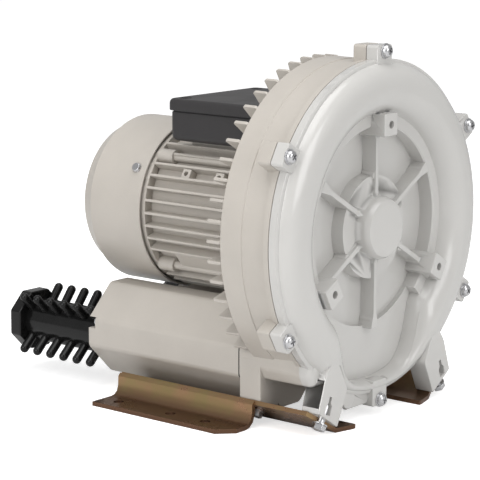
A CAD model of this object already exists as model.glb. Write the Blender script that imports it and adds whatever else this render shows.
"""Looks of the vortex air pump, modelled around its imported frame."""

from math import cos, radians, sin

import bmesh
import bpy
from mathutils import Matrix, Vector


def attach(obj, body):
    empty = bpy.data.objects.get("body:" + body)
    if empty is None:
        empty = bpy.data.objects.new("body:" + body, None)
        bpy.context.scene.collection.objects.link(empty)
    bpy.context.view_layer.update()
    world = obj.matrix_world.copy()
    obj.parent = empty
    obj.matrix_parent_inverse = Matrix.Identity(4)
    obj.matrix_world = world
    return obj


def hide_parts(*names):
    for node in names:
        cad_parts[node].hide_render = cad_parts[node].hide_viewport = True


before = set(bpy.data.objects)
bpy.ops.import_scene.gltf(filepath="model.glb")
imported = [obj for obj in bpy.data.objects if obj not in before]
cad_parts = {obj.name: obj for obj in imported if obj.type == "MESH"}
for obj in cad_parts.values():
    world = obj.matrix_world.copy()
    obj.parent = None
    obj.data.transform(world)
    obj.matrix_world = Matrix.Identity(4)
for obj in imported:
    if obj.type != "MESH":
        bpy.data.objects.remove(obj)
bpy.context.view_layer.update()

bl_info = {
    "name": "Vortex air pump",
    "version": (1, 0, 0),
    "blender": (4, 5, 0),
    "location": "View3D > Sidebar > Air pump",
    "description": "Models and finishes the side-channel air pump around its frame",
    "category": "Object",
}

MM = 0.001
PATTERN_DEPTH = 96.0  # from the cover joint back to the centre of the base holes
ROUND = 360.0


class PumpSizes(bpy.types.PropertyGroup):
    """Sizes in millimetres, measured from the cover joint."""

    shaft_height: bpy.props.FloatProperty(name="Shaft height", default=125.5, description="Shaft above the ground")
    channel_radius: bpy.props.FloatProperty(name="Channel radius", default=88.5, description="Middle of the air channel's bulge")
    channel_section: bpy.props.FloatProperty(name="Channel section", default=18.3, description="Outer radius of the bulge's section")
    channel_wall: bpy.props.FloatProperty(name="Channel wall", default=3.8, description="Casting thickness around the channel")
    rim_radius: bpy.props.FloatProperty(name="Rim radius", default=107.5, description="Edge of the cover")
    recess_radius: bpy.props.FloatProperty(name="Recess radius", default=65.0, description="Recess in the middle of the cover")
    bolt_circle: bpy.props.FloatProperty(name="Bolt circle", default=115.0, description="Radius that the cover screws stand on")
    lug_half: bpy.props.FloatProperty(name="Lug half width", default=8.0, description="Half width of the lugs on the rim")
    lug_front: bpy.props.FloatProperty(name="Lug front", default=13.5, description="Front of the cover's lugs ahead of the joint")
    joint_ledge: bpy.props.FloatProperty(name="Joint ledge", default=4.0, description="How far the housing's rim stands ahead of the joint")
    frame_radius: bpy.props.FloatProperty(name="Motor frame radius", default=49.2, description="Barrel of the motor frame")
    cowl_radius: bpy.props.FloatProperty(name="Cowl radius", default=58.4, description="Outside of the fan cowl")
    box_front: bpy.props.FloatProperty(name="Box front", default=46.5, description="Front of the terminal box")
    box_bottom: bpy.props.FloatProperty(name="Box underside", default=175.0, description="Underside of the terminal box")
    housing_fins: bpy.props.IntProperty(name="Housing fins", default=52, min=24, max=72, description="Fins around the rear housing")
    motor_fin_pitch: bpy.props.FloatProperty(name="Motor fin pitch", default=9.0, description="Degrees between the motor's fins")
    edge: bpy.props.FloatProperty(name="Edge rounding", default=0.7, description="Rounding of cast edges")
    silencer_x: bpy.props.FloatProperty(name="Silencer place", default=43.0, description="Silencer axis from the middle")
    silencer_z: bpy.props.FloatProperty(name="Silencer height", default=40.9, description="Silencer axis above the ground")
    core_x: bpy.props.FloatProperty(name="Core place", default=50.0, description="Intake core's axis from the middle")
    core_z: bpy.props.FloatProperty(name="Core height", default=35.5, description="Intake core's axis above the ground")
    rail_slope: bpy.props.FloatProperty(name="Seat plate slope", default=33.0, description="Degrees that the rail's seat plate rises")


class PumpFinish(bpy.types.PropertyGroup):
    """Colours of the main finishes."""

    cover: bpy.props.FloatVectorProperty(name="Cover paint", subtype="COLOR", size=3, default=(0.56, 0.55, 0.53), description="Gloss paint on the cover")
    body: bpy.props.FloatVectorProperty(name="Body paint", subtype="COLOR", size=3, default=(0.50, 0.465, 0.42), description="Paint on housing, motor and silencers")
    charcoal: bpy.props.FloatVectorProperty(name="Terminal box", subtype="COLOR", size=3, default=(0.030, 0.028, 0.029), description="Plastic of the terminal box")
    black: bpy.props.FloatVectorProperty(name="Black plastic", subtype="COLOR", size=3, default=(0.006, 0.006, 0.006), description="Intake core and nozzle")
    zinc: bpy.props.FloatVectorProperty(name="Bright zinc", subtype="COLOR", size=3, default=(0.62, 0.62, 0.63), description="Screws, bolts and washers")
    plated: bpy.props.FloatVectorProperty(name="Yellow zinc", subtype="COLOR", size=3, default=(0.36, 0.195, 0.12), description="Passivated rails")


def lift(b, matrix):
    """Moves a whole shape."""
    bmesh.ops.transform(b, matrix=matrix, verts=b.verts)
    return b


def at(x, y, z):
    """Moves by millimetres."""
    return Matrix.Translation((x, y, z))


def around_shaft(angle, height):
    """Turns from X towards Z around the shaft."""
    middle = at(0, 0, height)
    return middle @ Matrix.Rotation(-radians(angle), 4, "Y") @ middle.inverted()


def join(shapes):
    """One shape out of several, which are used up."""
    whole = bmesh.new()
    for shape in shapes:
        mesh = bpy.data.meshes.new("part")
        shape.to_mesh(mesh)
        shape.free()
        whole.from_mesh(mesh)
        bpy.data.meshes.remove(mesh)
    return whole


def copy_of(shape, matrix):
    """A moved copy of a shape."""
    return lift(shape.copy(), matrix)


def flat(points, corner=0.0, segments=3):
    """A flat face in X and Z with its corners rounded."""
    b = bmesh.new()
    b.faces.new([b.verts.new((x, 0.0, z)) for x, z in points])
    if corner:
        bmesh.ops.bevel(
            b, geom=b.verts[:], offset=corner, offset_type="OFFSET", segments=segments, profile=0.5,
            affect="VERTICES", clamp_overlap=True, material=-1,
        )
    return b


def soften(b, width, segments=2, sharp=30.0):
    """Rounds every edge that is sharper than the angle."""
    edges = [e for e in b.edges if len(e.link_faces) == 2 and e.calc_face_angle(0.0) > radians(sharp)]
    bmesh.ops.bevel(
        b, geom=edges, offset=width, offset_type="OFFSET", segments=segments, profile=0.5,
        affect="EDGES", clamp_overlap=True, material=-1,
    )
    return b


def outward(b):
    """Merges doubles and turns the faces out."""
    bmesh.ops.remove_doubles(b, verts=b.verts, dist=1e-4)
    bmesh.ops.recalc_face_normals(b, faces=b.faces)
    return b


def bar(points, front, back, corner=0.0, edge=0.0, segments=3):
    """A section in X and Z, drawn out along Y."""
    b = flat(points, corner, segments)
    new = bmesh.ops.extrude_face_region(b, geom=b.faces[:])["geom"]
    moved = [v for v in new if isinstance(v, bmesh.types.BMVert)]
    bmesh.ops.translate(b, vec=(0, back - front, 0), verts=moved)
    bmesh.ops.translate(b, vec=(0, front, 0), verts=b.verts)
    outward(b)
    return soften(b, edge) if edge else b


def block(low, high, edge=0.0, segments=2):
    """A box between two corners."""
    b = bmesh.new()
    bmesh.ops.create_cube(b, size=1.0)
    size = [h - l for l, h in zip(low, high)]
    bmesh.ops.scale(b, vec=size, verts=b.verts)
    bmesh.ops.translate(b, vec=[(l + h) / 2 for l, h in zip(low, high)], verts=b.verts)
    return soften(b, edge, segments) if edge else b


def lathe(points, corner=0.0, steps=96, sweep=ROUND, start=0.0, segments=3):
    """A closed section of radius and depth, turned around Y."""
    b = flat([(r, y) for r, y in points], corner, segments)
    lift(b, Matrix.Rotation(radians(-90), 4, "X"))  # depth becomes Y
    return turned(b, steps, sweep, start)


def turned(b, steps=96, sweep=ROUND, start=0.0):
    """Turns the flat section in b around Y, from X towards Z."""
    bmesh.ops.delete(b, geom=b.faces[:], context="FACES_ONLY")
    full = sweep >= ROUND
    bmesh.ops.spin(
        b, geom=b.verts[:] + b.edges[:], cent=(0, 0, 0), axis=(0, -1, 0), dvec=(0, 0, 0),
        angle=radians(sweep), steps=steps, use_merge=full, use_normal_flip=False, use_duplicate=False,
    )
    bmesh.ops.remove_doubles(b, verts=b.verts, dist=1e-4)
    if not full:
        ends = [e for e in b.edges if e.is_boundary]
        bmesh.ops.edgenet_fill(b, edges=ends)
    lift(b, Matrix.Rotation(-radians(start), 4, "Y"))
    return outward(b)


def rod(radius, length, edge=0.0, sides=32, tip=None):
    """A round bar along +Y from the origin."""
    b = bmesh.new()
    bmesh.ops.create_cone(
        b, cap_ends=True, segments=sides, radius1=radius, radius2=radius if tip is None else tip, depth=length,
    )
    lift(b, Matrix.Rotation(radians(-90), 4, "X") @ at(0, 0, length / 2))
    return soften(b, edge) if edge else b


def mesh_object(name, b):
    """A mesh object from a shape, which is used up."""
    mesh = bpy.data.meshes.new(name)
    b.to_mesh(mesh)
    b.free()
    obj = bpy.data.objects.new(name, mesh)
    bpy.context.scene.collection.objects.link(obj)
    return obj


def fused(solids, cuts=()):
    """One clean solid: the union of the solids, less the cuts."""
    base = mesh_object("base", solids[0])
    tools = []
    for kind, shapes in (("UNION", solids[1:]), ("DIFFERENCE", cuts)):
        if shapes:
            tool = mesh_object("tool", join(shapes))
            tools.append(tool)
            change = base.modifiers.new(kind, "BOOLEAN")
            change.operation = kind
            change.solver = "EXACT"
            change.use_self = True
            change.object = tool
    bpy.context.view_layer.update()
    graph = bpy.context.evaluated_depsgraph_get()
    b = bmesh.new()
    b.from_object(base, graph)
    for obj in tools + [base]:
        mesh = obj.data
        bpy.data.objects.remove(obj)
        bpy.data.meshes.remove(mesh)
    bmesh.ops.remove_doubles(b, verts=b.verts, dist=0.002)
    bmesh.ops.dissolve_limit(b, angle_limit=radians(1.0), verts=b.verts, edges=b.edges)
    return b


def piece(name, shape, finish, nodes=(), body="pump", smooth=38.0):
    """Places a finished shape in the frame, riding on its body."""
    lift(shape, Matrix.Scale(MM, 4) @ at(0, -PATTERN_DEPTH, 0))
    obj = mesh_object(name, shape)
    mesh = obj.data
    mesh.polygons.foreach_set("use_smooth", [True] * len(mesh.polygons))
    mesh.set_sharp_from_angle(angle=radians(smooth))
    mesh.materials.append(finish)
    weighted = obj.modifiers.new("even shading", "WEIGHTED_NORMAL")
    weighted.keep_sharp = True
    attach(obj, body)
    if nodes:
        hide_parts(*nodes)
    return obj


def socket(group, name, kind, way, value=None):
    item = group.interface.new_socket(name=name, in_out=way, socket_type=kind)
    if value is not None:
        item.default_value = value


def mottle_group():
    """Colour that varies a little over the surface, with fine specks."""
    group = bpy.data.node_groups.new("Paint mottle", "ShaderNodeTree")
    socket(group, "Colour", "NodeSocketColor", "INPUT")
    socket(group, "Second", "NodeSocketColor", "INPUT")
    socket(group, "Scale", "NodeSocketFloat", "INPUT", 20.0)
    socket(group, "Amount", "NodeSocketFloat", "INPUT", 0.5)
    socket(group, "Colour", "NodeSocketColor", "OUTPUT")
    socket(group, "Mask", "NodeSocketFloat", "OUTPUT")
    nodes, link = group.nodes, group.links.new
    given, out = nodes.new("NodeGroupInput"), nodes.new("NodeGroupOutput")
    place = nodes.new("ShaderNodeTexCoord")
    noise = nodes.new("ShaderNodeTexNoise")
    noise.inputs["Detail"].default_value = 6.0
    noise.inputs["Roughness"].default_value = 0.62
    spread = nodes.new("ShaderNodeMapRange")
    spread.inputs["From Min"].default_value = 0.36
    spread.inputs["From Max"].default_value = 0.64
    strength = nodes.new("ShaderNodeMath")
    strength.operation = "MULTIPLY"
    mix = nodes.new("ShaderNodeMix")
    mix.data_type = "RGBA"
    link(place.outputs["Object"], noise.inputs["Vector"])
    link(given.outputs["Scale"], noise.inputs["Scale"])
    link(noise.outputs["Fac"], spread.inputs["Value"])
    link(spread.outputs["Result"], strength.inputs[0])
    link(given.outputs["Amount"], strength.inputs[1])
    link(strength.outputs[0], mix.inputs["Factor"])
    link(given.outputs["Colour"], mix.inputs["A"])
    link(given.outputs["Second"], mix.inputs["B"])
    link(mix.outputs["Result"], out.inputs["Colour"])
    link(strength.outputs[0], out.inputs["Mask"])
    return group


def grain_group():
    """Fine relief of a cast, moulded or sprayed surface."""
    group = bpy.data.node_groups.new("Surface grain", "ShaderNodeTree")
    socket(group, "Scale", "NodeSocketFloat", "INPUT", 900.0)
    socket(group, "Depth", "NodeSocketFloat", "INPUT", 0.00004)
    socket(group, "Stretch", "NodeSocketVector", "INPUT", (1.0, 1.0, 1.0))
    socket(group, "Normal", "NodeSocketVector", "OUTPUT")
    nodes, link = group.nodes, group.links.new
    given, out = nodes.new("NodeGroupInput"), nodes.new("NodeGroupOutput")
    place = nodes.new("ShaderNodeTexCoord")
    stretch = nodes.new("ShaderNodeMapping")
    noise = nodes.new("ShaderNodeTexNoise")
    noise.inputs["Detail"].default_value = 3.0
    bump = nodes.new("ShaderNodeBump")
    link(place.outputs["Object"], stretch.inputs["Vector"])
    link(given.outputs["Stretch"], stretch.inputs["Scale"])
    link(stretch.outputs["Vector"], noise.inputs["Vector"])
    link(given.outputs["Scale"], noise.inputs["Scale"])
    link(noise.outputs["Fac"], bump.inputs["Height"])
    link(given.outputs["Depth"], bump.inputs["Distance"])
    link(bump.outputs["Normal"], out.inputs["Normal"])
    return group


def finish(name, colour, second, roughness, rough_spread=0.08, mottle=(25.0, 0.35), grain=(900.0, 0.00004),
           stretch=(1, 1, 1), metallic=0.0, coat=0.0, coat_roughness=0.1, specular=0.5):
    """A material with mottled colour, uneven roughness and fine relief."""
    material = bpy.data.materials.new(name)
    material.use_nodes = True
    nodes, link = material.node_tree.nodes, material.node_tree.links.new
    shader = nodes["Principled BSDF"]
    shader.inputs["Metallic"].default_value = metallic
    shader.inputs["Coat Weight"].default_value = coat
    shader.inputs["Coat Roughness"].default_value = coat_roughness
    shader.inputs["Specular IOR Level"].default_value = specular
    tint = nodes.new("ShaderNodeGroup")
    tint.node_tree = bpy.data.node_groups["Paint mottle"]
    tint.inputs["Colour"].default_value = (*colour, 1)
    tint.inputs["Second"].default_value = (*second, 1)
    tint.inputs["Scale"].default_value, tint.inputs["Amount"].default_value = mottle
    relief = nodes.new("ShaderNodeGroup")
    relief.node_tree = bpy.data.node_groups["Surface grain"]
    relief.inputs["Scale"].default_value, relief.inputs["Depth"].default_value = grain
    relief.inputs["Stretch"].default_value = stretch
    rough = nodes.new("ShaderNodeMapRange")
    rough.inputs["To Min"].default_value = roughness
    rough.inputs["To Max"].default_value = roughness + rough_spread
    link(tint.outputs["Colour"], shader.inputs["Base Color"])
    link(tint.outputs["Mask"], rough.inputs["Value"])
    link(rough.outputs["Result"], shader.inputs["Roughness"])
    link(relief.outputs["Normal"], shader.inputs["Normal"])
    return material


def darker(colour, share):
    return tuple(c * share for c in colour)


def shade_low(material, colour):
    """Lets the colour turn to another one near the ground."""
    nodes, link = material.node_tree.nodes, material.node_tree.links.new
    shader = nodes["Principled BSDF"]
    upper = shader.inputs["Base Color"].links[0].from_socket
    place = nodes.new("ShaderNodeTexCoord")
    height = nodes.new("ShaderNodeSeparateXYZ")
    share = nodes.new("ShaderNodeMapRange")
    share.inputs["From Min"].default_value = 0.002
    share.inputs["From Max"].default_value = 0.011
    mix = nodes.new("ShaderNodeMix")
    mix.data_type = "RGBA"
    mix.inputs["A"].default_value = (*colour, 1)
    link(place.outputs["Object"], height.inputs["Vector"])
    link(height.outputs["Z"], share.inputs["Value"])
    link(share.outputs["Result"], mix.inputs["Factor"])
    link(upper, mix.inputs["B"])
    link(mix.outputs["Result"], shader.inputs["Base Color"])


FINISHES = {}


def make_finishes(look):
    mottle_group()
    grain_group()
    make = FINISHES
    make["cover"] = finish("cover paint", look.cover, darker(look.cover, 0.95), 0.24, 0.06, (22, 0.5), (420, 0.00003), coat=0.5, coat_roughness=0.1)
    make["body"] = finish("body paint", look.body, darker(look.body, 0.9), 0.34, 0.12, (28, 0.5), (700, 0.00007), coat=0.2, coat_roughness=0.2)
    make["charcoal"] = finish("charcoal plastic", look.charcoal, darker(look.charcoal, 0.8), 0.42, 0.12, (40, 0.5), (2600, 0.00004), stretch=(1, 1, 0.08), specular=0.4)
    make["black"] = finish("black plastic", look.black, darker(look.black, 1.7), 0.14, 0.12, (60, 0.5), (900, 0.00002), specular=0.3)
    make["zinc"] = finish("bright zinc", look.zinc, darker(look.zinc, 0.8), 0.24, 0.15, (180, 0.6), (1500, 0.00002), metallic=1.0)
    make["plated"] = finish("yellow zinc", look.plated, (0.29, 0.225, 0.10), 0.24, 0.12, (26, 1.0), (800, 0.00002), stretch=(1, 0.25, 1), metallic=0.85)
    shade_low(make["plated"], darker(look.plated, 0.38))
    make["steel"] = finish("ground steel", (0.55, 0.55, 0.56), (0.42, 0.42, 0.43), 0.25, 0.15, (60, 0.6), (1200, 0.00002), stretch=(1, 6, 1), metallic=1.0)
    make["bearing"] = finish("bearing steel", (0.62, 0.62, 0.64), (0.5, 0.5, 0.52), 0.12, 0.1, (80, 0.5), (1800, 0.000006), metallic=1.0)
    make["aluminium"] = finish("cast aluminium", (0.62, 0.63, 0.64), (0.45, 0.46, 0.47), 0.4, 0.15, (90, 0.6), (1300, 0.00005), metallic=0.9)
    make["lamination"] = finish("stacked lamination", (0.30, 0.30, 0.31), (0.16, 0.16, 0.17), 0.45, 0.15, (60, 0.6), (1800, 0.00008), stretch=(0.05, 1, 0.05), metallic=0.9)
    make["copper"] = finish("varnished copper", (0.55, 0.20, 0.08), (0.36, 0.11, 0.04), 0.3, 0.15, (120, 0.8), (900, 0.0002), stretch=(1, 0.1, 1), metallic=0.7, coat=0.4)
    make["rubber"] = finish("black rubber", (0.02, 0.02, 0.02), (0.035, 0.034, 0.033), 0.6, 0.2, (90, 0.6), (1600, 0.00006))
    make["foam"] = finish("acoustic foam", (0.06, 0.06, 0.065), (0.02, 0.02, 0.02), 0.9, 0.1, (500, 1.0), (500, 0.0012))
    make["nylon"] = finish("glass nylon", (0.32, 0.22, 0.10), (0.26, 0.17, 0.08), 0.45, 0.1, (90, 0.5), (1200, 0.00003))
    make["brass"] = finish("brass", (0.60, 0.42, 0.14), (0.45, 0.30, 0.10), 0.28, 0.12, (120, 0.5), (1400, 0.00002), metallic=1.0)
    make["ceramic"] = finish("moulded block", (0.60, 0.56, 0.46), (0.52, 0.48, 0.38), 0.5, 0.1, (90, 0.5), (1500, 0.00004))
    make["fan"] = finish("fan plastic", (0.035, 0.035, 0.038), (0.05, 0.05, 0.05), 0.42, 0.15, (60, 0.5), (1800, 0.00003))


NODE_FINISH = {
    "front_cover": "cover", "rear_housing": "body", "motor_frame": "body", "end_shield": "body",
    "fan_cowl": "body", "silencer_left": "body", "silencer_right": "body",
    "terminal_box": "charcoal", "terminal_lid": "charcoal", "cable_gland": "black", "gland_nut": "black",
    "intake_core": "black", "outlet_nozzle": "black", "cooling_fan": "fan",
    "rail_left": "plated", "rail_right": "plated",
    "cover_bolts": "zinc", "cover_washers": "zinc", "rail_bolts": "zinc", "rail_washers": "zinc",
    "cowl_screws": "zinc", "lid_screws": "zinc", "box_screws": "zinc", "silencer_screws": "zinc",
    "tie_bolts": "zinc", "fan_clip": "steel", "wave_spring": "steel",
    "shaft": "steel", "impeller_key": "steel", "impeller_nut": "steel", "impeller_washer": "steel",
    "impeller": "aluminium", "rotor_cage": "aluminium", "rotor_core": "lamination", "stator_core": "lamination",
    "stator_windings": "copper", "shaft_seal": "rubber", "port_gaskets": "rubber", "terminal_gasket": "rubber",
    "foam_left": "foam", "foam_right": "foam", "terminal_block": "ceramic", "terminal_studs": "brass",
    "front_bearing_outer": "bearing", "front_bearing_inner": "bearing", "front_bearing_balls": "bearing",
    "rear_bearing_outer": "bearing", "rear_bearing_inner": "bearing", "rear_bearing_balls": "bearing",
    "front_bearing_cage": "nylon", "rear_bearing_cage": "nylon",
}


def channel_arc(size, front):
    """Section of the channel's bulge: the half circle on one side of a joint."""
    b = bmesh.new()
    bmesh.ops.create_circle(b, cap_ends=True, radius=size.channel_section, segments=56)
    lift(b, at(size.channel_radius, 0, 0))
    bmesh.ops.bisect_plane(
        b, geom=b.verts[:] + b.edges[:] + b.faces[:], plane_co=(0, 0, 0), plane_no=(0, front, 0), clear_inner=True,
    )
    return b


def eased(low, high, share):
    """From low to high along a smooth step."""
    share = min(max(share, 0.0), 1.0)
    return low + (high - low) * share * share * (3 - 2 * share)


def bulge_inside(turn):
    """Inner radius of the cover's bulge, by degrees from the bottom."""
    return eased(101.5, 73.0, (abs(turn) - 14) / 30)


def bulge_ring(steps=180):
    """The cover's bulge: full around the top, narrowing to a plain lip at the bottom."""
    b = bmesh.new()
    rings = []
    for step in range(steps):
        turn = ROUND * step / steps - 180
        inside, outside = bulge_inside(turn), 108.4
        top = -eased(14.0, 20.4, (abs(turn) - 16) / 24)
        centre, half = (inside + outside) / 2, (outside - inside) / 2
        ring = []
        for k in range(0, 181, 6):
            across, up = cos(radians(k)), sin(radians(k))
            foot, power = (-5.6, 2.5) if across > 0 else (-1.6, 2.1)
            reach = half * abs(across) ** (2 / power)
            r = centre + (reach if across > 0 else -reach)
            y = foot + (top - foot) * up ** (2 / power) if up > 1e-6 else foot
            ring.append(b.verts.new((r * sin(radians(turn)), y, -r * cos(radians(turn)))))
        rings.append(ring)
    for near, far in zip(rings, rings[1:] + rings[:1]):
        for k in range(len(near)):
            b.faces.new((near[k - 1], near[k], far[k], far[k - 1]))
    return outward(b)


def lugs(size, front, back):
    """Six rectangular screw lugs around the rim."""
    half, root, end = size.lug_half, size.rim_radius - 6, size.bolt_circle + 4
    lug = bar([(root, -half), (end, -half), (end, half), (root, half)], front, back, 1.8, 0.7)
    shaft = at(0, 0, size.shaft_height)
    out = [copy_of(lug, around_shaft(30 + 60 * k, size.shaft_height) @ shaft) for k in range(6)]
    lug.free()
    return out


def seat_cut(size, shape):
    """Cuts a leg or foot off on the rail's seat plate."""
    slope = radians(size.rail_slope)
    for side in (-1, 1):
        fold = Vector((side * 53.0, 0, 1.5 + 1.5 / cos(slope)))
        normal = Vector((-side * sin(slope), 0, cos(slope)))
        if any(side * v.co.x > 1 for v in shape.verts):
            bmesh.ops.bisect_plane(
                shape, geom=shape.verts[:] + shape.edges[:] + shape.faces[:], plane_co=fold, plane_no=normal,
                clear_inner=True,
            )
            bmesh.ops.edgenet_fill(shape, edges=[e for e in shape.edges if e.is_boundary])
    return outward(shape)


class PumpOperator:
    """Shared by the operators that make the pieces."""

    bl_options = {"REGISTER", "UNDO"}

    def execute(self, context):
        self.make(context.scene.pump_sizes)
        return {"FINISHED"}


class MakeFinishes(PumpOperator, bpy.types.Operator):
    """Makes the materials and puts them on the frame's nodes"""

    bl_idname = "pump.finishes"
    bl_label = "Finishes"

    def make(self, size):
        make_finishes(bpy.context.scene.pump_finish)
        for name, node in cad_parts.items():
            node.data.materials.clear()
            node.data.materials.append(FINISHES[NODE_FINISH[name]])


class MakeCover(PumpOperator, bpy.types.Operator):
    """Models the front cover with its channel bulge, ribs, lugs and legs"""

    bl_idname = "pump.cover"
    bl_label = "Front cover"

    def make(self, size):
        h = size.shaft_height
        shaft = at(0, 0, h)
        rim = lathe([
            (14, 2), (66.2, 2), (66.2, -7.8), (67, -8.6), (76, -8.6), (80, -12), (107.9, -12), (109.7, -11),
            (109.7, -5.9), (109.2, -5.5), (103, -5.5), (102, 0), (68.5, 0), (68.5, 6), (14, 6),
        ], steps=144)
        bulge = bulge_ring()
        disc = lathe([(0.01, -6.6), (34, -6.6), (34.8, 4), (0.01, 4)], steps=96)
        boss = lathe([
            (0.01, -18), (15.5, -18), (18.6, -17), (20.2, -14.8), (20.8, -12), (21.4, 5), (0.01, 5),
        ], steps=72)
        parts = [lift(shape, shaft) for shape in (bulge, disc, boss)]
        for k in range(6):
            rib = bar([
                (17, -3.6), (25, -1.8), (57, -1.8), (67.5, -4.2), (67.5, 4.2), (57, 1.8), (25, 1.8), (17, 3.6),
            ], -9, 3, 0, 0.8)
            parts.append(lift(rib, around_shaft(30 + 60 * k, h) @ shaft))
        for angle, r in ((90, 34), (210, 34), (330, 34), (-90, 62), (30, 62)):
            pad = lift(rod(3.3, 10, 0.8, 24), at(r, -8, h))
            parts.append(lift(pad, around_shaft(angle, h)))
        parts += lugs(size, -size.lug_front, -size.joint_ledge - 0.3)
        side_boss = lift(rod(7, 6.3, 1.0, 40), at(113, -10.5, h))
        parts.append(lift(side_boss, around_shaft(-105.5, h)))
        parts.append(block((-31, -8.8, h - 117), (0, -5.6, h - 104), 1.2))
        for angle in (90, 210, 330):
            square = block((60.5, -19.5, h - 7.5), (75.5, 3, h + 7.5), 1.3)
            parts.append(lift(square, around_shaft(angle, h)))
        leg = [(44, 27.5), (57, 0), (76, 0), (74.6, 18), (67, 40), (60, 49), (53, 45)]
        for side in (-1, 1):
            points = [(side * x, z) for x, z in leg]
            parts.append(soften(seat_cut(size, bar(points, -19.5, -5, 2.5)), 0.9))
            points = [(side * x, z) for x, z in ((46, 31.7), (71, 31.7), (74.9, 39.5), (74.9, 50.4), (64, 61), (46, 61))]
            elbow = bar(points, -13.5, -3.4, 2.0)
            ahead = [e for e in elbow.edges if max(v.co.y for v in e.verts) < -13.4]
            bmesh.ops.bevel(elbow, geom=ahead, offset=6, segments=6, profile=0.5, affect="EDGES", material=-1)
            parts.append(elbow)
        flat_edge = []
        for turn in range(-44, 45, 4):
            r = bulge_inside(turn) + 2
            flat_edge.append((r * sin(radians(turn)), h - r * cos(radians(turn))))
        for turn in range(44, -45, -8):
            flat_edge.append((65.8 * sin(radians(turn)), h - 65.8 * cos(radians(turn))))
        cuts = [bar(flat_edge, -25, -1.5)]
        for angle in (90, 210, 330):
            hole = lift(rod(2.6, 12, 0, 24), at(68, -20.5, h))
            cuts.append(lift(hole, around_shaft(angle, h)))
        for side in (-1, 1):
            slot = bar([(-2.9, -4), (2.9, -4), (2.9, 2), (1.3, 4), (1.3, 8), (-1.3, 8), (-1.3, 4), (-2.9, 2)], -21, -14, 0.4)
            turn = Matrix.Rotation(radians(side * -18), 4, "Y")
            cuts.append(lift(slot, at(side * 64.6, 0, 18.5) @ turn))
        flat = cuts.pop(0)
        rim = fused([lift(rim, shaft)], [flat])
        shape = fused([rim] + parts, cuts)
        piece("cover_casting", soften(shape, size.edge, 2, 35), FINISHES["cover"], ["front_cover"])


class MakeHousing(PumpOperator, bpy.types.Operator):
    """Models the rear housing with its fins, lugs, ports and feet"""

    bl_idname = "pump.housing"
    bl_label = "Rear housing"

    def make(self, size):
        h = size.shaft_height
        shaft = at(0, 0, h)
        band = lathe([
            (102.4, -5.3), (109.7, -5.3), (109.7, -1.6), (107.6, -1.2), (107.5, 0.2), (108.1, 16.5), (108.7, 16.9), (109, 33), (102.4, 33),
        ], steps=144)
        wall = lathe([(13, 26), (88, 26), (88, 32), (13, 32)], steps=96)
        neck = lathe([(46, 31), (57, 31), (57, 45), (46, 45)], 0.6, steps=96)
        hub = lathe([(17, 31), (21, 31), (21, 40), (17, 40)], 0.5, steps=64)
        outer = channel_arc(size, 1)
        shell = turned(outer, 144)
        lift(shell, at(0, 26, 0))
        parts = [lift(shape, shaft) for shape in (band, wall, neck, hub, shell)]
        fin = bar([(93.5, 30), (106, 30), (109.6, 34.5), (109.8, 43.2), (108.8, 44.5), (93.5, 42)], -1.1, 1.1)
        lift(fin, Matrix.Rotation(radians(-90), 4, "X"))
        soften(fin, 0.5)
        for k in range(size.housing_fins):
            parts.append(copy_of(fin, around_shaft(90 + ROUND * k / size.housing_fins, h) @ shaft))
        fin.free()
        parts += lugs(size, -size.joint_ledge, 6)
        half, flat_half = 32.0, 9.5
        section = [
            (half, -flat_half), (half, flat_half), (flat_half, half), (-flat_half, half),
            (-half, flat_half), (-half, -flat_half), (-flat_half, -half), (flat_half, -half),
        ]
        raised = [
            (half, -1.4), (half, flat_half), (flat_half, half), (-flat_half, half),
            (-half, flat_half), (-half, -1.4), (4 - half, -9.3), (half - 4, -9.3),
        ]
        for side in (-1, 1):
            port = fused(
                [lift(bar(outline, front, back, 2.0), at(side * size.silencer_x, 0, size.silencer_z))
                 for outline, front, back in ((section, 27.6, 45), (raised, -3.5, 30))],
                [lift(rod(103, 40, 0, 144), at(0, -10, h))],
            )
            parts.append(soften(port, 0.5, 2, 40))
            points = [(side * x, z) for x, z in ((56, 0), (75.03, 0), (75.03, 46), (70, 46), (56, 18))]
            foot = seat_cut(size, bar(points, 27.5, 44.8, 1.5))
            parts.append(soften(foot, 0.8))
        shape = join(parts)
        piece("housing_casting", shape, FINISHES["body"], ["rear_housing"])


class MakeMotor(PumpOperator, bpy.types.Operator):
    """Models the finned motor frame"""

    bl_idname = "pump.motor"
    bl_label = "Motor frame"

    def make(self, size):
        h, r = size.shaft_height, size.frame_radius
        parts = [lift(lathe([(46, 45), (r, 45), (r, 144), (46, 144)], 0.4, steps=96), at(0, 0, h))]
        angle = 0.0
        while angle < ROUND:
            open_places = (62 <= angle <= 118, 210 <= angle <= 228, 312 <= angle <= 330)
            if not any(open_places):
                fin = block((r - 1, 49.2, h - 0.95), (56.8, 143.8, h + 0.95), 0.6)
                parts.append(lift(fin, around_shaft(angle, h)))
            angle += size.motor_fin_pitch
        for angle in (45, 135, 225, 315):
            for radius, front, length in ((5, 45.5, 9), (3, 54, 80), (5, 131, 13.5)):
                lug = lift(rod(radius, length, 0.6, 32), at(52.6, front, h))
                parts.append(lift(lug, around_shaft(angle, h)))
        for angle in (219, 321):
            panel = block((48, 77, h - 9), (54, 125, h + 9), 1.4, 3)
            parts.append(lift(panel, around_shaft(angle, h)))
        for angle in (31, 149):
            for depth in (85, 113.5):
                pad = block((48, depth - 3.6, h - 3.6), (56, depth + 3.6, h + 3.6), 0.8)
                hole = lift(rod(1.7, 8, 0, 24), at(51, depth, h) @ Matrix.Rotation(radians(-90), 4, "Z"))
                parts.append(lift(fused([pad], [hole]), around_shaft(angle, h)))
        parts.append(block((-30, 62.5, h + 40), (30, 124, size.box_bottom), 1.2, 3))
        piece("motor_casting", join(parts), FINISHES["body"], ["motor_frame"])


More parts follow.
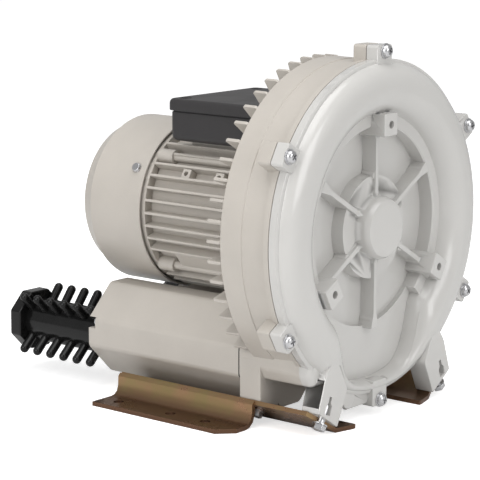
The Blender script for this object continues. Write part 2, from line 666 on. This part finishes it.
class MakeCowl(PumpOperator, bpy.types.Operator):
    """Models the pressed fan cowl with its rear air slots"""

    bl_idname = "pump.cowl"
    bl_label = "Fan cowl"

    def make(self, size):
        h, r = size.shaft_height, size.cowl_radius
        t = 1.2
        skin = lathe([
            (r, 146.5), (r, 192), (r - 2.5, 195), (r - 7, 204), (r - 10, 206), (0.01, 206), (0.01, 206 - t),
            (r - 10 - t, 206 - t), (r - 7 - t, 203.4), (r - 2.5 - t, 194.5), (r - t, 191.6), (r - t, 146.5),
        ], 0.3, steps=128)
        cuts = []
        for near in range(10, 43, 8):
            section = [(near, 202), (near + 4.5, 202), (near + 4.5, 210), (near, 210)]
            for quarter in range(4):
                slot = lathe(section, steps=24, sweep=78, start=6 + 90 * quarter)
                cuts.append(lift(slot, at(0, 0, h)))
        shape = fused([lift(skin, at(0, 0, h))], cuts)
        piece("cowl_pressing", soften(shape, 0.25, 2, 40), FINISHES["body"], ["fan_cowl"])


class MakeTerminalBox(PumpOperator, bpy.types.Operator):
    """Models the terminal box and its lid"""

    bl_idname = "pump.terminal_box"
    bl_label = "Terminal box"

    def make(self, size):
        low, high, front, z = -46.0, 46.0, size.box_front, size.box_bottom
        body = block((low, front, z), (high, 130, z + 20), 0)
        upright = [e for e in body.edges if abs(e.verts[0].co.z - e.verts[1].co.z) > 10]
        bmesh.ops.bevel(body, geom=upright, offset=5, segments=5, profile=0.5, affect="EDGES", material=-1)
        under = [e for e in body.edges if max(v.co.z for v in e.verts) < z + 0.1]
        bmesh.ops.bevel(body, geom=under, offset=4.6, segments=5, profile=0.5, affect="EDGES", material=-1)
        soften(body, 0.8, 2, 40)
        piece("terminal_body", body, FINISHES["charcoal"], ["terminal_box"])
        lid = block((low - 1.5, front - 1.5, z + 20.8), (high + 1.5, 131.5, z + 28.8), 0)
        upright = [e for e in lid.edges if abs(e.verts[0].co.z - e.verts[1].co.z) > 5]
        bmesh.ops.bevel(lid, geom=upright, offset=6, segments=6, profile=0.5, affect="EDGES", material=-1)
        top = [e for e in lid.edges if min(v.co.z for v in e.verts) > z + 28]
        bmesh.ops.bevel(lid, geom=top, offset=3.2, segments=4, profile=0.5, affect="EDGES", material=-1)
        cuts = []
        for x in (-38, 38):
            for y in (front + 8, 122):
                well = rod(4.2, 6, 0, 32)
                cuts.append(lift(well, at(x, y, z + 24.8) @ Matrix.Rotation(radians(90), 4, "X")))
        shape = fused([lid], cuts)
        piece("terminal_cover", soften(shape, 0.5, 2, 40), FINISHES["charcoal"], ["terminal_lid"])


class MakeSilencers(PumpOperator, bpy.types.Operator):
    """Models the two octagonal silencers"""

    bl_idname = "pump.silencers"
    bl_label = "Silencers"

    def make(self, size):
        half, flat_half = 32.0, 9.5
        section = [
            (half, -flat_half), (half, flat_half), (flat_half, half), (-flat_half, half),
            (-half, flat_half), (-half, -flat_half), (-flat_half, -half), (flat_half, -half),
        ]
        for side, name in ((-1, "left"), (1, "right")):
            box = lift(bar(section, 46, 179, 2.2, 0), at(side * size.silencer_x, 0, size.silencer_z))
            cuts = []
            for end in (-1, 1):
                x = side * size.silencer_x + end * 26
                z = size.silencer_z + end * side * 7
                low, high = (x - 3.8, x + 27) if end > 0 else (x - 27, x + 3.8)
                cuts.append(block((low, 173, z - 3.8), (high, 185, z + 3.8)))
            shape = fused([box], cuts)
            piece(f"silencer_shell_{name}", soften(shape, 0.6, 2, 40), FINISHES["body"], [f"silencer_{name}"])


class MakeCore(PumpOperator, bpy.types.Operator):
    """Models the pronged intake core"""

    bl_idname = "pump.core"
    bl_label = "Intake core"

    def make(self, size):
        place = at(-size.core_x, 0, size.core_z)
        first, pitch, count, r, tip = 183.4, 12.9, 6, 3.2, 29.6
        cap_front = first + pitch * (count - 1) + r + 0.4
        parts = [
            lathe([(8, 175), (15.3, 175), (15.3, cap_front + 1), (8, cap_front + 1)], steps=64),
            lathe([(7.5, 143), (10, 143), (10, 176), (7.5, 176)], steps=64),
            lathe([(12, cap_front + 8), (15.5, cap_front + 8), (15.2, cap_front + 10), (12.3, cap_front + 10)], 0.3, steps=64),
            lathe([(8, 174.5), (16, 174.5), (16, 179.3), (17.5, 179.3), (17.5, 180.2), (8, 180.2)], 0.3, steps=64),
        ]
        cap = bmesh.new()
        bmesh.ops.create_cone(
            cap, cap_ends=True, segments=8, radius1=20.8 / cos(radians(22.5)), radius2=20.8 / cos(radians(22.5)), depth=10,
        )
        lift(cap, Matrix.Rotation(radians(-90), 4, "X") @ Matrix.Rotation(radians(22.5), 4, "Z") @ at(0, 0, 4))
        soften(cap, 1.2, 4)
        parts.append(lift(cap, at(0, cap_front, 0)))
        prong = bmesh.new()
        bmesh.ops.create_uvsphere(prong, u_segments=20, v_segments=12, radius=r)
        bmesh.ops.translate(prong, vec=(0, 0, tip - r), verts=[v for v in prong.verts if v.co.z > -0.01])
        lift(prong, Matrix.Rotation(radians(90), 4, "Y"))
        for k in range(count):
            for angle in (52, 134, 223, 317):
                parts.append(copy_of(prong, Matrix.Rotation(-radians(angle), 4, "Y") @ at(0, 0, 0)))
                lift(parts[-1], at(0, first + k * pitch, 0))
        prong.free()
        shape = lift(join(parts), place)
        piece("core_moulding", shape, FINISHES["black"], ["intake_core"])


class MakeNozzle(PumpOperator, bpy.types.Operator):
    """Models the outlet nozzle"""

    bl_idname = "pump.nozzle"
    bl_label = "Outlet nozzle"

    def make(self, size):
        nozzle = lathe([
            (14, 175), (16, 175), (16, 179), (17.5, 179), (17.5, 183), (21.5, 184), (21.5, 207),
            (20.5, 210.5), (18, 213), (16, 214), (14, 214),
        ], 0.35, steps=96)
        piece("nozzle_moulding", lift(nozzle, at(size.core_x, 0, size.core_z)), FINISHES["black"], ["outlet_nozzle"])


class MakeScrews(PumpOperator, bpy.types.Operator):
    """Models the cover's cross-recess screws and their washers"""

    bl_idname = "pump.screws"
    bl_label = "Cover screws"

    def make(self, size):
        h, face = size.shaft_height, -size.lug_front - 1.0
        head = lathe([(0.01, -3.2), (2.2, -3.15), (3.4, -2.6), (4.1, -1.5), (4.2, -0.4), (4.2, 0), (0.01, 0)], steps=40)
        slots = [
            lift(block((-2.3, -5, -0.5), (2.3, -1.7, 0.5)), Matrix.Rotation(radians(turn), 4, "Y"))
            for turn in (20, 110)
        ]
        screw = join([soften(fused([head], slots), 0.12, 1, 40), lift(rod(2.5, 18), at(0, -0.5, 0))])
        ring = lathe([(2.5, 0), (5, 0), (5, 1), (2.5, 1)], 0.2, steps=40)
        for name, shape, node in (("cover_screws", screw, "cover_bolts"), ("cover_rings", ring, "cover_washers")):
            places = [around_shaft(30 + 60 * k, h) @ at(size.bolt_circle, face, h) for k in range(6)]
            whole = join([copy_of(shape, place) for place in places])
            shape.free()
            piece(name, whole, FINISHES["zinc"], [node])


class EaseEdges(PumpOperator, bpy.types.Operator):
    """Gives the remaining visible pieces their small edge radii"""

    bl_idname = "pump.ease_edges"
    bl_label = "Eased pieces"

    def make(self, size):
        for node, width, segments in (
            ("rail_left", 0.6, 2), ("rail_right", 0.6, 2), ("rail_bolts", 0.35, 2), ("rail_washers", 0.2, 1),
            ("lid_screws", 0.25, 2), ("cowl_screws", 0.4, 2), ("silencer_screws", 0.5, 2), ("tie_bolts", 0.4, 2),
            ("end_shield", 0.5, 2), ("cable_gland", 0.5, 2),
        ):
            b = bmesh.new()
            b.from_mesh(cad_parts[node].data)
            lift(b, at(0, PATTERN_DEPTH, 0) @ Matrix.Scale(1 / MM, 4))
            bmesh.ops.remove_doubles(b, verts=b.verts, dist=0.002)
            bmesh.ops.dissolve_limit(b, angle_limit=radians(1.0), verts=b.verts, edges=b.edges)
            h = size.shaft_height
            if node == "end_shield":
                for v in b.verts:
                    r = ((v.co.x ** 2) + (v.co.z - h) ** 2) ** 0.5
                    if r > 56 and v.co.y < 153:  # its rim, which leaves a gap inside the cowl
                        v.co.x, v.co.z = v.co.x * 55.4 / r, h + (v.co.z - h) * 55.4 / r
            if node == "cowl_screws":
                share = size.cowl_radius / 60
                lift(b, at(0, 0, h) @ Matrix.Diagonal((share, 1, share, 1)) @ at(0, 0, -h))
            piece(f"{node}_eased", soften(b, width, segments, 40), FINISHES[NODE_FINISH[node]], [node])


class MakeStage(PumpOperator, bpy.types.Operator):
    """Sets up the floor, the lamps, the world and the camera"""

    bl_idname = "pump.stage"
    bl_label = "Stage"

    def make(self, size):
        scene = bpy.context.scene
        scene.view_settings.view_transform = "Standard"
        b = bmesh.new()
        bmesh.ops.create_grid(b, x_segments=1, y_segments=1, size=6.0)
        floor = mesh_object("floor", b)
        floor.data.materials.append(self.floor_material())
        self.world(scene)
        for name, place, aim, width, power in (
            ("overhead", (-0.3, -0.2, 1.5), (0, 0, 0.1), 1.3, 12.8),
            ("left", (-1.6, 0.1, 0.75), (0, 0, 0.12), 1.0, 10.6),
            ("front", (-0.2, -1.7, 0.8), (0, 0, 0.12), 1.0, 9.6),
        ):
            lamp = bpy.data.lights.new(name, "AREA")
            lamp.shape = "SQUARE"
            lamp.size = width
            lamp.energy = power
            obj = bpy.data.objects.new(name, lamp)
            scene.collection.objects.link(obj)
            look = Vector(aim) - Vector(place)
            obj.matrix_world = Matrix.Translation(place) @ look.to_track_quat("-Z", "Y").to_matrix().to_4x4()
        self.camera(scene)

    def floor_material(self):
        material = bpy.data.materials.new("pale floor")
        material.use_nodes = True
        nodes, link = material.node_tree.nodes, material.node_tree.links.new
        shader = nodes["Principled BSDF"]
        shader.inputs["Base Color"].default_value = (0.86, 0.86, 0.86, 1)
        shader.inputs["Roughness"].default_value = 0.9
        shader.inputs["Specular IOR Level"].default_value = 0.1
        glow = nodes.new("ShaderNodeEmission")
        glow.inputs["Color"].default_value = (1, 1, 1, 1)
        path = nodes.new("ShaderNodeLightPath")
        level = nodes.new("ShaderNodeMath")
        level.operation = "MULTIPLY"
        level.inputs[1].default_value = 0.62
        total = nodes.new("ShaderNodeAddShader")
        link(path.outputs["Is Camera Ray"], level.inputs[0])
        link(level.outputs[0], glow.inputs["Strength"])
        link(shader.outputs[0], total.inputs[0])
        link(glow.outputs[0], total.inputs[1])
        link(total.outputs[0], nodes["Material Output"].inputs["Surface"])
        return material

    def world(self, scene):
        world = bpy.data.worlds.new("studio")
        world.use_nodes = True
        nodes, link = world.node_tree.nodes, world.node_tree.links.new
        base = nodes["Background"]
        base.inputs["Color"].default_value = (1, 1, 1, 1)
        base.inputs["Strength"].default_value = 0.45
        seen = nodes.new("ShaderNodeBackground")
        seen.inputs["Strength"].default_value = 1.0
        seen.inputs["Color"].default_value = (1, 1, 1, 1)
        path = nodes.new("ShaderNodeLightPath")
        most = nodes.new("ShaderNodeMath")
        most.operation = "MAXIMUM"
        mix = nodes.new("ShaderNodeMixShader")
        link(path.outputs["Is Camera Ray"], most.inputs[0])
        link(path.outputs["Is Transmission Ray"], most.inputs[1])
        link(most.outputs[0], mix.inputs[0])
        link(base.outputs[0], mix.inputs[1])
        link(seen.outputs[0], mix.inputs[2])
        link(mix.outputs[0], nodes["World Output"].inputs["Surface"])
        scene.world = world

    def camera(self, scene):
        """At the photograph's angle, from the fit of its straight edges."""
        heading, dip, roll = radians(50.858), radians(10.527), radians(0.145)
        ahead = Vector((sin(heading) * cos(dip), cos(heading) * cos(dip), -sin(dip)))
        right = Vector((cos(heading), -sin(heading), 0))
        up = right.cross(ahead)
        right, up = right * cos(roll) + up * sin(roll), up * cos(roll) - right * sin(roll)
        camera = bpy.data.cameras.new("camera")
        camera.sensor_width = 36.0
        camera.lens = 1958.3 / 480 * 36.0
        obj = bpy.data.objects.new("camera", camera)
        scene.collection.objects.link(obj)
        turn = Matrix((right, up, -ahead)).transposed().to_4x4()
        obj.matrix_world = Matrix.Translation((-1.0301, -0.8286, 0.3501)) @ turn
        scene.camera = obj


PIECES = (
    MakeStage, MakeFinishes, MakeCover, MakeHousing, MakeMotor, MakeCowl, MakeTerminalBox, MakeSilencers,
    MakeCore, MakeNozzle, MakeScrews, EaseEdges,
)


class PumpPanel(bpy.types.Panel):
    """Lists the pieces and their sizes"""

    bl_idname = "VIEW3D_PT_pump"
    bl_label = "Air pump"
    bl_space_type = "VIEW_3D"
    bl_region_type = "UI"
    bl_category = "Air pump"

    def draw(self, context):
        for group in (context.scene.pump_sizes, context.scene.pump_finish):
            for name in group.__annotations__:
                self.layout.prop(group, name)
        for operator in PIECES:
            self.layout.operator(operator.bl_idname)


CLASSES = (PumpSizes, PumpFinish, *PIECES, PumpPanel)


def register():
    for cls in CLASSES:
        bpy.utils.register_class(cls)
    bpy.types.Scene.pump_sizes = bpy.props.PointerProperty(type=PumpSizes)
    bpy.types.Scene.pump_finish = bpy.props.PointerProperty(type=PumpFinish)


def unregister():
    del bpy.types.Scene.pump_finish
    del bpy.types.Scene.pump_sizes
    for cls in reversed(CLASSES):
        bpy.utils.unregister_class(cls)


def main():
    register()
    for operator in PIECES:
        group, name = operator.bl_idname.split(".")
        getattr(getattr(bpy.ops, group), name)()


if __name__ == "__main__":
    main()
